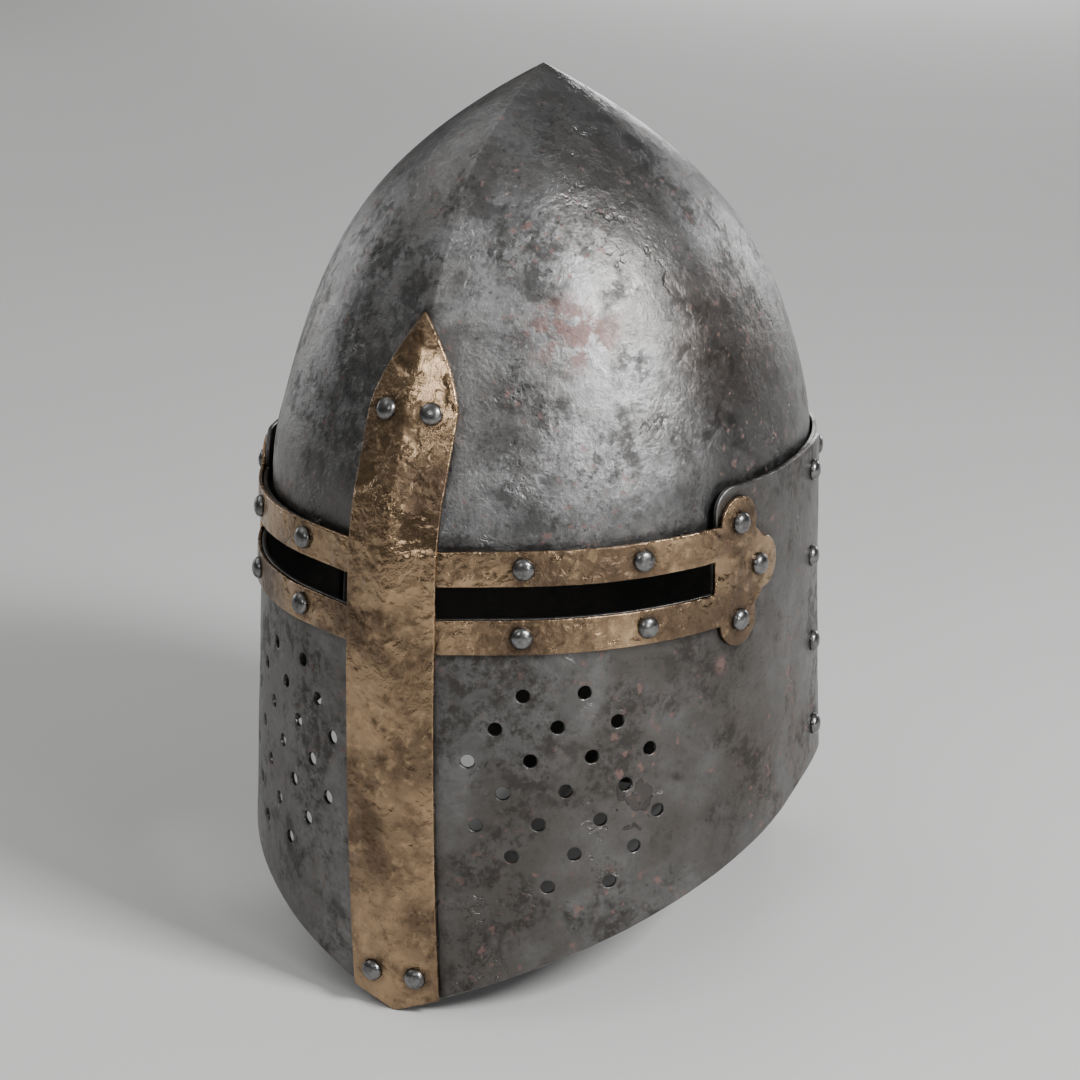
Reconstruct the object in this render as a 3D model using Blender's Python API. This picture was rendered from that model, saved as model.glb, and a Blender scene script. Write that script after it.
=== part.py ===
"""A closed sugarloaf helmet: a pointed steel crown, a front and a back plate, a
brass bar over the face, a brass frame round each eye slot, and domed rivets.

It stands on the bar's lower tip and on the back plate's lower edge. The face looks
along -Y and +X is the wearer's left. A point on the plates is given by its distance
along them from the front keel, measured at the eye slots, and by its height."""

import math

import bmesh
import bpy
import numpy as np

MM = 0.001

# Walls and the clearance between pieces
STEEL = 1.8 * MM
BRASS = 1.5 * MM
GAP = 0.3 * MM

# The plan at the rim, from the axis, which leans back to the crown's point
HALF_WIDTH = 106.9 * MM
FRONT_REACH = 122.7 * MM
BACK_REACH = 133 * MM
KEEL = 11.2 * MM
APEX_BACK = 10 * MM
KEEL_SPREAD = 0.415
FRONT_ROUND = 1.95
BACK_ROUND = 2.45

# How the plates change below the rim: with the drop, and with its square
WIDTH_FLARE = (0.019, 0.07)
FRONT_FLARE = (0.136, -0.145)
BACK_FLARE = (-0.053, 0)
KEEL_FADE = 0.87

# Eye slots and their frames, along the plates from the front keel
SLOT_LEVEL = 165.6 * MM
SLOT_HEIGHT = 12.4 * MM
SLOT_END = 127.8 * MM
SLOT_UNDER_BAR = 0.4 * MM
FRAME_BORDER = 13.2 * MM
FRAME_UNDER_BAR = 2.7 * MM
TREFOIL_OUT = 13.5 * MM
TREFOIL = SLOT_END + TREFOIL_OUT
TREFOIL_BODY = 18 * MM
LOBE = 10.2 * MM
LOBE_UP = 18.9 * MM
LOBE_OUT = 15.2 * MM

# Upper edges of the plates
RIM_CLEAR = 5.4 * MM
RIM = SLOT_LEVEL + LOBE_UP + LOBE + RIM_CLEAR
FACE_RIM_DOWN = 1.5 * MM
FACE_RIM = RIM - FACE_RIM_DOWN
FACE_RIM_FALL = 1.7 * MM
BACK_RIM_DOWN = 4 * MM
BACK_RIM = RIM - BACK_RIM_DOWN
FRAME_OVER = 1 * MM
FACE_TOP = SLOT_LEVEL + SLOT_HEIGHT / 2 + FRAME_BORDER - FRAME_OVER
EAR_CLEAR = 1.6 * MM
EAR = TREFOIL - LOBE - EAR_CLEAR
EAR_ROUND = 9 * MM

# Seams, where the back plate goes under the face plate, and the lower edges
SEAM = 232 * MM
SEAM_LAP = 26 * MM
SEAM_LOW = 64 * MM
EDGE_RISE = 213 * MM
EDGE_POWER = 1.07
REAR_POWER = 2.6
LEVEL_POWER = 1.5
KEEL_LOW = 2 * MM
REAR_FLAT = 57 * MM

# Crown: each taper has its lean and its power
CROWN_LOW = 4.2 * MM
CROWN_EDGE = SLOT_LEVEL + SLOT_HEIGHT / 2 + CROWN_LOW
CROWN_RISE = 144.9 * MM
HEIGHT = RIM + CROWN_RISE
CROWN_WIDTH = (0.33, 3.5)
CROWN_FRONT = (0.46, 5.5)
CROWN_BACK = (0.14, 2)
CROWN_KEEL_FADE = 0.2
POINT_WALL = 2.9 * MM

# Vertical bar
BAR_HALF = 18.25 * MM
BAR_RISE = 67 * MM
BAR_TOP = RIM + BAR_RISE
SPEAR = 36 * MM
BAR_POINT = 6.9 * MM
BAR_FLATTEN = 0.68

# Breath holes, top row first
HOLE_ROWS = (2, 3, 4, 3, 4, 3, 2)
HOLE_RADIUS = 2.6 * MM
HOLE_PITCH = 22.9 * MM
HOLE_DROP = 12.6 * MM
HOLES_DOWN = 35.6 * MM
HOLE_TOP = SLOT_LEVEL - HOLES_DOWN
HOLE_CENTRE = 62.3 * MM
HOLE_SHIFT = 1.4 * MM

# Rivets
RIVET_RADIUS = 4.3 * MM
RIVET_HEIGHT = 2.7 * MM
RIVET_PROFILE = ((1, 0), (0.97, 0.3), (0.62, 0.84))
BAR_RIVET_UP = 1.5 * MM
LOBE_RIVET = 0.8
UPPER_RIVETS = (0.39, 0.745)
LOWER_RIVETS = (0.39, 0.762)
SEAM_RIVETS = 4
SEAM_RIVET_PLACE = 0.6
SEAM_RIVET_END = 12.5 * MM
SEAM_RIVET_LOW = 15 * MM
BACK_RIVET = 12 * MM
BACK_RIVET_DOWN = 7 * MM

# Fineness of the faceted surfaces
FRONT_COLUMNS = 17
BACK_COLUMNS = 11
CROWN_ROWS = (0.12, 0.24, 0.36, 0.48, 0.6, 0.7, 0.79, 0.87, 0.94)
PLATE_ROWS = (0.25, 0.5, 0.75)
CIRCLE_SIDES = 8
TREFOIL_POINTS = 40
EAR_POINTS = 4
SPEAR_POINTS = 7
SHARP = 40
MERGE = 0.05 * MM
SMALL = 1e-6


def clear_scene():
    for obj in list(bpy.data.objects):
        bpy.data.objects.remove(obj)


def material(name, colour, roughness):
    made = bpy.data.materials.new(name)
    made.use_nodes = True
    shader = made.node_tree.nodes["Principled BSDF"]
    shader.inputs["Base Color"].default_value = (*colour, 1)
    shader.inputs["Roughness"].default_value = roughness
    shader.inputs["Metallic"].default_value = 1
    return made


def taper(share, lean, power):
    """1 at the rim, 0 at the crown's point."""
    return 1 - lean * share - (1 - lean) * share**power


def plate_plan(z):
    """Half width, front reach, keel, back reach and axis of the plates at height z."""
    drop = (RIM - z) / RIM

    def flared(size, flare):
        return size * (1 + flare[0] * drop + flare[1] * drop**2)

    width = flared(HALF_WIDTH, WIDTH_FLARE)
    front = flared(FRONT_REACH, FRONT_FLARE)
    keel = KEEL * (1 - KEEL_FADE * drop)
    return width, front, keel, flared(BACK_REACH, BACK_FLARE), 0


def crown_plan(z, wall=0, point=HEIGHT):
    """The same for the crown, which sits inside both plates, less a wall."""
    side_inset = 2 * STEEL + 3 * GAP + wall
    front_inset = STEEL + 2 * GAP + wall
    if z <= RIM:
        width, front, keel, back, axis = plate_plan(z)
        return width - side_inset, front - front_inset, keel, back - side_inset, axis
    share = (z - RIM) / (point - RIM)
    width = (HALF_WIDTH - side_inset) * taper(share, *CROWN_WIDTH)
    front = (FRONT_REACH - front_inset) * taper(share, *CROWN_FRONT)
    back = (BACK_REACH - side_inset) * taper(share, *CROWN_BACK)
    keel = front * KEEL / FRONT_REACH * (1 - CROWN_KEEL_FADE * share)
    return width, front, keel, back, APEX_BACK * share


def around(turn, plan):
    """A point of a plan, turn 0 at the front keel and pi at the back."""
    width, front, keel, back, axis = plan
    ahead = math.cos(turn) > 0
    power = 2 / (FRONT_ROUND if ahead else BACK_ROUND)
    x = width * max(math.sin(turn), 0) ** power
    reach = abs(math.cos(turn)) ** power
    if not ahead:
        return x, axis + back * reach
    bump = max(1 - x / (KEEL_SPREAD * width + SMALL), 0) ** 2
    return x, axis - (front - keel) * reach - keel * bump


TURNS = np.linspace(0, math.pi, 721)
SLOT_PLAN = np.array([around(turn, plate_plan(SLOT_LEVEL)) for turn in TURNS])
ALONG = np.append(0, np.cumsum(np.hypot(*np.diff(SLOT_PLAN, axis=0).T)))
BACK_CENTRE = ALONG[-1]
COLUMNS = [SEAM * k / FRONT_COLUMNS for k in range(FRONT_COLUMNS)]
COLUMNS += [
    SEAM + (BACK_CENTRE - SEAM) * k / BACK_COLUMNS for k in range(BACK_COLUMNS + 1)
]


def turn_at(along):
    return float(np.interp(abs(along), ALONG, TURNS))


def on_plates(along, z, depth=0):
    """The point that far along, at height z, and that deep inside the outer face."""
    plan = plate_plan(z)
    turn = turn_at(along)
    step = 1e-4
    first = max(turn - step, 0)
    last = min(turn + step, math.pi)
    x, y = around(turn, plan)
    x0, y0 = around(first, plan)
    x1, y1 = around(last, plan)
    length = math.hypot(x1 - x0, y1 - y0)
    across, ahead = (y1 - y0) / length, (x1 - x0) / length
    if x < SMALL:
        across, ahead = 0, 1 / ahead if turn < 1 else ahead
    side = -1 if along < 0 else 1
    return side * (x - depth * across), y + depth * ahead, z


def front_of(x, z):
    """Y of the steel ahead of the axis: the plate, and above its top the crown."""
    if z > FACE_TOP:
        if z < RIM:
            share = (z - FACE_TOP) / (RIM - FACE_TOP)
            return (1 - share) * front_of(x, FACE_TOP) + share * front_of(x, RIM + SMALL)
        plan = crown_plan(z)
    else:
        plan = plate_plan(z)
    width, front, keel, _, axis = plan
    share = min(abs(x) / width, 1)
    reach = (1 - share**FRONT_ROUND) ** (1 / FRONT_ROUND)
    bump = max(1 - share / KEEL_SPREAD, 0) ** 2
    return axis - (front - keel) * reach - keel * bump


def on_bar(x, z, depth=0):
    """The bar stands clear of the keel, and its edges clear of the frames under it."""
    centre = front_of(0, z)
    flank = BAR_FLATTEN * (front_of(x, z) - centre)
    return x, centre - BRASS - GAP + flank + depth, z


def circle(centre, radius, sides):
    turns = [2 * math.pi * k / sides for k in range(sides)]
    return [
        (centre[0] + radius * math.cos(t), centre[1] + radius * math.sin(t))
        for t in turns
    ]


def both_ways(right):
    """An outline that starts and ends on the keel, from its right half."""
    return right + [(-a, z) for a, z in reversed(right) if a > SMALL]


def low_edge(along):
    """Height of the face plate's lower edge, which levels out towards the seam."""
    share = min(along / EDGE_RISE, 1)
    return max(SEAM_LOW * (1 - (1 - share**EDGE_POWER) ** LEVEL_POWER), KEEL_LOW)


def rear_edge(along):
    """Height of the back plate's lower edge: from the seam down to a flat rest."""
    flat_from = BACK_CENTRE - REAR_FLAT
    share = min(max((along - SEAM) / (flat_from - SEAM), 0), 1)
    return SEAM_LOW * (1 - share**REAR_POWER) ** LEVEL_POWER


def slot_outline(side):
    start = BAR_HALF - SLOT_UNDER_BAR
    low, high = SLOT_LEVEL - SLOT_HEIGHT / 2, SLOT_LEVEL + SLOT_HEIGHT / 2
    corners = [(start, low), (SLOT_END, low), (SLOT_END, high), (start, high)]
    return [(side * a, z) for a, z in corners]


def trefoil_reach(angle):
    """How far the trefoil goes from its centre, in one direction."""
    reach = TREFOIL_BODY
    for lobe_angle, offset in ((0, LOBE_OUT), (math.pi / 2, LOBE_UP), (-math.pi / 2, LOBE_UP)):
        turned = angle - lobe_angle
        miss = abs(offset * math.sin(turned))
        if miss < LOBE and math.cos(turned) > 0:
            out = offset * math.cos(turned) + math.sqrt(LOBE**2 - miss**2)
            reach = max(reach, out)
    return reach


def frame_outline(side):
    """The band round a slot, with the trefoil at its outer end."""
    half = SLOT_HEIGHT / 2 + FRAME_BORDER
    meets = TREFOIL - math.sqrt(LOBE**2 - (half - LOBE_UP) ** 2)
    last = math.atan2(half, meets - TREFOIL)
    start = BAR_HALF - FRAME_UNDER_BAR
    points = [(start, -half), (meets, -half)]
    for k in range(1, TREFOIL_POINTS):
        angle = last * (2 * k / TREFOIL_POINTS - 1)
        reach = trefoil_reach(angle)
        points.append((TREFOIL + reach * math.cos(angle), reach * math.sin(angle)))
    points += [(meets, half), (start, half)]
    return [(side * a, SLOT_LEVEL + z) for a, z in points]


def breath_holes():
    for row, count in enumerate(HOLE_ROWS):
        centre = HOLE_CENTRE + HOLE_SHIFT * row
        for k in range(count):
            along = centre + HOLE_PITCH * (k - (count - 1) / 2)
            yield along, HOLE_TOP - HOLE_DROP * row
            yield -along, HOLE_TOP - HOLE_DROP * row


def face_outline():
    front = [a for a in COLUMNS if a < SEAM - SMALL] + [SEAM]
    lower = [(a, low_edge(a)) for a in front]
    upper = [(SEAM, FACE_RIM - FACE_RIM_FALL)]
    for k in range(EAR_POINTS + 1):
        angle = math.pi / 2 * k / EAR_POINTS
        along = EAR + EAR_ROUND * (1 - math.sin(angle))
        upper.append((along, FACE_RIM - EAR_ROUND * (1 - math.cos(angle))))
    upper += [(EAR, FACE_TOP), (0, FACE_TOP)]
    return both_ways(lower + upper)


def bar_outline():
    right = [(0, 0), (BAR_HALF, BAR_POINT)]
    for k in range(SPEAR_POINTS):
        share = k / SPEAR_POINTS
        right.append((BAR_HALF * (1 - share**1.5), BAR_TOP - SPEAR * (1 - share)))
    right.append((0, BAR_TOP))
    return both_ways(right)


def sheet(outlines, columns, rows):
    """A flat mesh inside the first outline and outside the others, cut into strips."""
    flat = bmesh.new()
    for outline in outlines:
        verts = [flat.verts.new((a, z, 0)) for a, z in outline]
        for k, vert in enumerate(verts):
            flat.edges.new((verts[k - 1], vert))
    bmesh.ops.triangle_fill(flat, use_beauty=True, edges=flat.edges[:], normal=(0, 0, 1))
    cuts = [((a, 0, 0), (1, 0, 0)) for a in columns]
    cuts += [((0, z, 0), (0, 1, 0)) for z in rows]
    for place, normal in cuts:
        geometry = flat.verts[:] + flat.edges[:] + flat.faces[:]
        bmesh.ops.bisect_plane(
            flat, geom=geometry, dist=SMALL, plane_co=place, plane_no=normal
        )
    bmesh.ops.remove_doubles(flat, verts=flat.verts[:], dist=MERGE)
    bmesh.ops.triangulate(flat, faces=flat.faces[:])
    return flat


def wrapped(name, flat, place, outer, inner, finish):
    """A closed plate: the flat sheet laid on place() at two depths, with its edges."""
    mesh = bmesh.new()
    tops = {v: mesh.verts.new(place(v.co.x, v.co.y, outer)) for v in flat.verts}
    lows = {v: mesh.verts.new(place(v.co.x, v.co.y, inner)) for v in flat.verts}
    for face in flat.faces:
        mesh.faces.new([tops[v] for v in face.verts])
        mesh.faces.new([lows[v] for v in reversed(face.verts)])
    for edge in flat.edges:
        if len(edge.link_faces) == 1:
            a, b = edge.verts
            mesh.faces.new((tops[a], tops[b], lows[b], lows[a]))
    flat.free()
    return finished(name, mesh, finish)


def finished(name, mesh, finish):
    bmesh.ops.recalc_face_normals(mesh, faces=mesh.faces[:])
    data = bpy.data.meshes.new(name)
    mesh.to_mesh(data)
    mesh.free()
    data.shade_smooth()
    data.set_sharp_from_angle(angle=math.radians(SHARP))
    data.materials.append(finish)
    made = bpy.data.objects.new(name, data)
    bpy.context.scene.collection.objects.link(made)
    return made


def crown(finish):
    """A hollow shell: rings of columns up to a point, outside and inside."""
    mesh = bmesh.new()
    turns = [turn_at(a) for a in COLUMNS]

    def shell(wall, point):
        heights = [CROWN_EDGE, RIM] + [RIM + s * (point - RIM) for s in CROWN_ROWS]
        rings = []
        for z in heights:
            right = [around(turn, crown_plan(z, wall, point)) for turn in turns]
            spots = right + [(-x, y) for x, y in right[-2:0:-1]]
            rings.append([mesh.verts.new((x, y, z)) for x, y in spots])
        tip = mesh.verts.new((0, APEX_BACK, point))
        for low, high in zip(rings, rings[1:]):
            for k, vert in enumerate(low):
                mesh.faces.new((low[k - 1], vert, high[k], high[k - 1]))
        for k, vert in enumerate(rings[-1]):
            mesh.faces.new((rings[-1][k - 1], vert, tip))
        return rings[0]

    outside = shell(0, HEIGHT)
    inside = shell(STEEL, HEIGHT - POINT_WALL)
    for k, vert in enumerate(outside):
        mesh.faces.new((outside[k - 1], vert, inside[k], inside[k - 1]))
    return finished("crown", mesh, finish)


def face_plate(finish):
    outlines = [face_outline(), slot_outline(1), slot_outline(-1)]
    outlines += [circle(spot, HOLE_RADIUS, CIRCLE_SIDES) for spot in breath_holes()]
    columns = [s * a for a in COLUMNS if a < SEAM - SMALL for s in (1, -1)]
    rows = [RIM * share for share in PLATE_ROWS]
    return wrapped("face_plate", sheet(outlines, columns, rows), on_plates, 0, STEEL, finish)


def back_plate(finish):
    """Laid out from its own middle, so that it is one sheet across the back."""
    half = BACK_CENTRE - SEAM + SEAM_LAP
    inside = [0] + [BACK_CENTRE - a for a in reversed(COLUMNS) if 0 < BACK_CENTRE - a < half]
    spots = inside + [half]
    right = [(a, rear_edge(BACK_CENTRE - a)) for a in spots]
    flat = sheet(
        [both_ways(right + [(half, BACK_RIM), (0, BACK_RIM)])],
        [s * a for a in inside for s in (1, -1)],
        [RIM * share for share in PLATE_ROWS],
    )

    def place(from_middle, z, depth):
        along = BACK_CENTRE - abs(from_middle)
        return on_plates(-along if from_middle < 0 else along, z, depth)

    outer = STEEL + GAP
    return wrapped("back_plate", flat, place, outer, outer + STEEL, finish)


def bar(finish):
    columns = [BAR_HALF * share for share in (-0.67, -0.33, 0, 0.33, 0.67)]
    rows = [RIM * share for share in PLATE_ROWS] + [FACE_TOP, RIM]
    rows.append((RIM + BAR_TOP - SPEAR) / 2)
    rows += [BAR_TOP - SPEAR * share for share in (1, 0.66, 0.33)]
    return wrapped("bar", sheet([bar_outline()], columns, rows), on_bar, 0, BRASS, finish)


def frame(name, side, finish):
    columns = [side * a for a in COLUMNS]
    flat = sheet([frame_outline(side), slot_outline(side)], columns, [])
    return wrapped(name, flat, on_plates, -GAP - BRASS, -GAP, finish)


def rivet(name, place, along, z, depth, finish):
    """A domed head, its flat base a gap off the surface and square to it."""
    step = 0.5 * MM
    centre = np.array(place(along, z, depth))
    across = np.array(place(along + step, z, depth)) - np.array(place(along - step, z, depth))
    up = np.array(place(along, z + step, depth)) - np.array(place(along, z - step, depth))
    across /= np.linalg.norm(across)
    up -= across * up.dot(across)
    up /= np.linalg.norm(up)
    out = np.cross(across, up)
    out *= -1 if out.dot(centre - np.array((0, 0, z))) < 0 else 1
    mesh = bmesh.new()
    rings = []
    for radius_share, height_share in RIVET_PROFILE:
        middle = centre + out * (GAP + RIVET_HEIGHT * height_share)
        ring = circle((0, 0), RIVET_RADIUS * radius_share, CIRCLE_SIDES)
        rings.append([mesh.verts.new(middle + across * p + up * q) for p, q in ring])
    mesh.faces.new(rings[0])
    for low, high in zip(rings, rings[1:]):
        for k, vert in enumerate(low):
            mesh.faces.new((low[k - 1], vert, high[k], high[k - 1]))
    tip = mesh.verts.new(centre + out * (GAP + RIVET_HEIGHT))
    for k, vert in enumerate(rings[-1]):
        mesh.faces.new((rings[-1][k - 1], vert, tip))
    return finished(name, mesh, finish)


def bar_rivets(finish):
    levels = (BAR_TOP - SPEAR + BAR_RIVET_UP, BAR_POINT + 2 * RIVET_RADIUS)
    spots = [(side * BAR_HALF / 2, z) for z in levels for side in (-1, 1)]
    return [
        rivet(f"bar_rivet_{k}", on_bar, x, z, 0, finish)
        for k, (x, z) in enumerate(spots, 1)
    ]


def frame_rivets(name, side, finish):
    """Two above and two below the slot, and one in each lobe of the trefoil."""
    middle = SLOT_HEIGHT / 2 + FRAME_BORDER / 2
    spots = [(share * SLOT_END, middle) for share in UPPER_RIVETS]
    spots += [(share * SLOT_END, -middle) for share in LOWER_RIVETS]
    spots += [(TREFOIL, LOBE_UP), (TREFOIL + LOBE_RIVET * LOBE_OUT, 0), (TREFOIL, -LOBE_UP)]
    return [
        rivet(f"{name}_rivet_{k}", on_plates, side * a, SLOT_LEVEL + v, -GAP - BRASS, finish)
        for k, (a, v) in enumerate(spots, 1)
    ]


def seam_rivets(name, side, finish):
    """Down the lapped edge, and one more high on the back plate behind it."""
    top = FACE_RIM - SEAM_RIVET_END
    pitch = (top - SEAM_LOW - SEAM_RIVET_LOW) / (SEAM_RIVETS - 1)
    along = SEAM - SEAM_RIVET_PLACE * SEAM_LAP
    spots = [(along, top - pitch * k, 0) for k in range(SEAM_RIVETS)]
    spots.append((SEAM + BACK_RIVET, BACK_RIM - BACK_RIVET_DOWN, STEEL + GAP))
    return [
        rivet(f"{name}_seam_{k}", on_plates, side * a, z, depth, finish)
        for k, (a, z, depth) in enumerate(spots, 1)
    ]


def centre_on_floor(made):
    """Parents all to one empty, so that the box's middle is over the origin."""
    spots = np.array([v.co for obj in made for v in obj.data.vertices])
    helmet = bpy.data.objects.new("helmet", None)
    bpy.context.scene.collection.objects.link(helmet)
    helmet.location = (0, -(spots[:, 1].min() + spots[:, 1].max()) / 2, 0)
    for obj in made:
        obj.parent = helmet


def build():
    clear_scene()
    crown_steel = material("crown steel", (0.3, 0.3, 0.31), 0.4)
    plate_steel = material("plate steel", (0.24, 0.24, 0.25), 0.45)
    brass = material("aged brass", (0.4, 0.28, 0.15), 0.5)
    rivet_steel = material("rivet steel", (0.4, 0.4, 0.42), 0.3)
    made = [crown(crown_steel), face_plate(plate_steel), back_plate(plate_steel)]
    made.append(bar(brass))
    made += bar_rivets(rivet_steel)
    for name, side in (("left", 1), ("right", -1)):
        made.append(frame(f"{name}_frame", side, brass))
        made += frame_rivets(name, side, rivet_steel)
        made += seam_rivets(name, side, rivet_steel)
    centre_on_floor(made)


build()
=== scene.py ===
"""Looks of the sugarloaf helmet: finely meshed plates, brass and rivets laid out as
the solids are, with worn steel and tarnished brass, on a pale studio floor."""

import math

import bmesh
import bpy
import numpy as np
from mathutils import Matrix, Vector, kdtree, noise


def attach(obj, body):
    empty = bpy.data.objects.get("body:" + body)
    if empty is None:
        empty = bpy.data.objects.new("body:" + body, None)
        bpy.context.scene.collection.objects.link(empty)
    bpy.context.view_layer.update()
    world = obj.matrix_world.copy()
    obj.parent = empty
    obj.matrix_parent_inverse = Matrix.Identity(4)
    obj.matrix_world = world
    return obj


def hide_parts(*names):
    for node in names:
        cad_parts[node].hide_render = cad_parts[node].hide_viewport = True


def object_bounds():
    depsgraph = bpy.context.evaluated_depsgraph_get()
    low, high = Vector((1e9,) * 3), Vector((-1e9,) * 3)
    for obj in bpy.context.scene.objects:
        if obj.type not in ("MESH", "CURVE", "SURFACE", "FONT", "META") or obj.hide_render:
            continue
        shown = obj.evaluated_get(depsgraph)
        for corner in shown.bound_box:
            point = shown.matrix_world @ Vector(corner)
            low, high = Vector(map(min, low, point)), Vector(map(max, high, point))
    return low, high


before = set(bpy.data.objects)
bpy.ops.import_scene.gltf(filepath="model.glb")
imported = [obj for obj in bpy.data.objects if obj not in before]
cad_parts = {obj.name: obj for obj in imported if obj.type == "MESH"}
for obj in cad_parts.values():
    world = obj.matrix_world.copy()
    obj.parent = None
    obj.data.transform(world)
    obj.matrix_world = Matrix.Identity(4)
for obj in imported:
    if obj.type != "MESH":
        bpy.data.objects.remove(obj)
cad_box = [list(corner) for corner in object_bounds()]

MM = 0.001

# Walls and the clearance between pieces
STEEL = 1.8 * MM
BRASS = 1.5 * MM
GAP = 0.3 * MM

# The plan at the rim, from the axis, which leans back to the crown's point
HALF_WIDTH = 106.9 * MM
FRONT_REACH = 122.7 * MM
BACK_REACH = 133 * MM
KEEL = 11.2 * MM
APEX_BACK = 10 * MM
KEEL_SPREAD = 0.415
FRONT_ROUND = 1.95
BACK_ROUND = 2.45

# How the plates change below the rim: with the drop, and with its square
WIDTH_FLARE = (0.019, 0.07)
FRONT_FLARE = (0.136, -0.145)
BACK_FLARE = (-0.053, 0)
KEEL_FADE = 0.87

# Eye slots and their frames, along the plates from the front keel
SLOT_LEVEL = 165.6 * MM
SLOT_HEIGHT = 12.4 * MM
SLOT_END = 127.8 * MM
SLOT_UNDER_BAR = 0.4 * MM
FRAME_BORDER = 13.2 * MM
FRAME_UNDER_BAR = 2.7 * MM
TREFOIL_OUT = 13.5 * MM
TREFOIL = SLOT_END + TREFOIL_OUT
TREFOIL_BODY = 18 * MM
LOBE = 10.2 * MM
LOBE_UP = 18.9 * MM
LOBE_OUT = 15.2 * MM

# Upper edges of the plates
RIM_CLEAR = 5.4 * MM
RIM = SLOT_LEVEL + LOBE_UP + LOBE + RIM_CLEAR
FACE_RIM_DOWN = 1.5 * MM
FACE_RIM = RIM - FACE_RIM_DOWN
FACE_RIM_FALL = 1.7 * MM
BACK_RIM_DOWN = 4 * MM
BACK_RIM = RIM - BACK_RIM_DOWN
FRAME_OVER = 1 * MM
FACE_TOP = SLOT_LEVEL + SLOT_HEIGHT / 2 + FRAME_BORDER - FRAME_OVER
EAR_CLEAR = 1.6 * MM
EAR = TREFOIL - LOBE - EAR_CLEAR
EAR_ROUND = 9 * MM

# Seams, where the back plate goes under the face plate, and the lower edges
SEAM = 232 * MM
SEAM_LAP = 26 * MM
SEAM_LOW = 64 * MM
EDGE_RISE = 213 * MM
EDGE_POWER = 1.07
REAR_POWER = 2.6
LEVEL_POWER = 1.5
KEEL_LOW = 2 * MM
REAR_FLAT = 57 * MM

# Crown: each taper has its lean and its power
CROWN_LOW = 4.2 * MM
CROWN_EDGE = SLOT_LEVEL + SLOT_HEIGHT / 2 + CROWN_LOW
CROWN_RISE = 144.9 * MM
HEIGHT = RIM + CROWN_RISE
CROWN_WIDTH = (0.33, 3.5)
CROWN_FRONT = (0.46, 5.5)
CROWN_BACK = (0.14, 2)
CROWN_KEEL_FADE = 0.2
POINT_WALL = 2.9 * MM

# Vertical bar
BAR_HALF = 18.25 * MM
BAR_RISE = 67 * MM
BAR_TOP = RIM + BAR_RISE
SPEAR = 36 * MM
SPEAR_POWER = 1.5
BAR_POINT = 6.9 * MM
BAR_FLATTEN = 0.68

# Breath holes, top row first
HOLE_ROWS = (2, 3, 4, 3, 4, 3, 2)
HOLE_RADIUS = 2.6 * MM
HOLE_PITCH = 22.9 * MM
HOLE_DROP = 12.6 * MM
HOLES_DOWN = 35.6 * MM
HOLE_TOP = SLOT_LEVEL - HOLES_DOWN
HOLE_CENTRE = 62.3 * MM
HOLE_SHIFT = 1.4 * MM

# Rivets
RIVET_RADIUS = 4.3 * MM
RIVET_HEIGHT = 2.7 * MM
RIVET_DOME = 0.85
BAR_RIVET_UP = 1.5 * MM
LOBE_RIVET = 0.8
UPPER_RIVETS = (0.39, 0.745)
LOWER_RIVETS = (0.39, 0.762)
SEAM_RIVETS = 4
SEAM_RIVET_PLACE = 0.6
SEAM_RIVET_END = 12.5 * MM
SEAM_RIVET_LOW = 15 * MM
BACK_RIVET = 12 * MM
BACK_RIVET_DOWN = 7 * MM

# Fineness of the shown meshes; the crown's rows crowd towards its point
PLATE_STEP = 2.6 * MM
BRASS_STEP = 1.6 * MM
CROWN_LOW_STEP = 3 * MM
CROWN_ROWS = 110
CROWN_ROW_POWER = 1.25
CROWN_COLUMNS = 130
TREFOIL_POINTS = 120
EAR_POINTS = 12
SPEAR_POINTS = 32
HOLE_SIDES = 24
EDGE_POINTS = 3
RIVET_SIDES = 28
RIVET_LEVELS = 9
FOOT_POINTS = 16
LINE_STEP = 1.5 * MM
MERGE = 0.05 * MM
SMALL = 1e-6

# What the shown meshes add to the solids: round edges, an eased bend, dents, rivet flaws
ROUND_EDGE = 0.4 * MM
EASE = 9 * MM
CROWN_DENTS = 0.5 * MM
PLATE_DENTS = 0.45 * MM
BRASS_DENTS = 0.45 * MM
BROAD_DENT = 34 * MM
SMALL_DENT = 13 * MM
BROAD_SHARE = 0.75
DENT_SHIFT = (7, 3, 1)
BULGE_FADE = 1 * MM
RIVET_FLAW = 0.07 * MM
FLAW_SIZE = 3 * MM

# The crown's dents fade towards the rim, down to a least share, and towards the point
CALM_RIM = 12 * MM
CALM_LEAST = 0.4
CALM_POINT = 25 * MM

# How far grime and painted contact shade reach from a joint, and worn brightness from an edge
CROWN_GRIME_AND_SHADE = 8 * MM
PLATE_GRIME_AND_SHADE = 6 * MM
BAR_GRIME_AND_SHADE = 7 * MM
FRAME_GRIME_AND_SHADE = 6.5 * MM
POINT_WEAR = 6 * MM
EDGE_WEAR = 2.5 * MM

# The camera of the photograph, in the row frame
CAMERA_AT = (0.4599, -0.9652, 0.4911)
CAMERA_AZIMUTH = 25.35
CAMERA_ELEVATION = 17.53
FOCAL = 92.17
SENSOR = 36


def tip_of(node):
    return max((v.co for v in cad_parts[node].data.vertices), key=lambda co: co.z)


AXIS_Y = tip_of("crown").y - APEX_BACK
WIDEST, DEEPEST = cad_box[1][:2]


def taper(share, lean, power):
    """1 at the rim, 0 at the crown's point."""
    return 1 - lean * share - (1 - lean) * share**power


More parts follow.
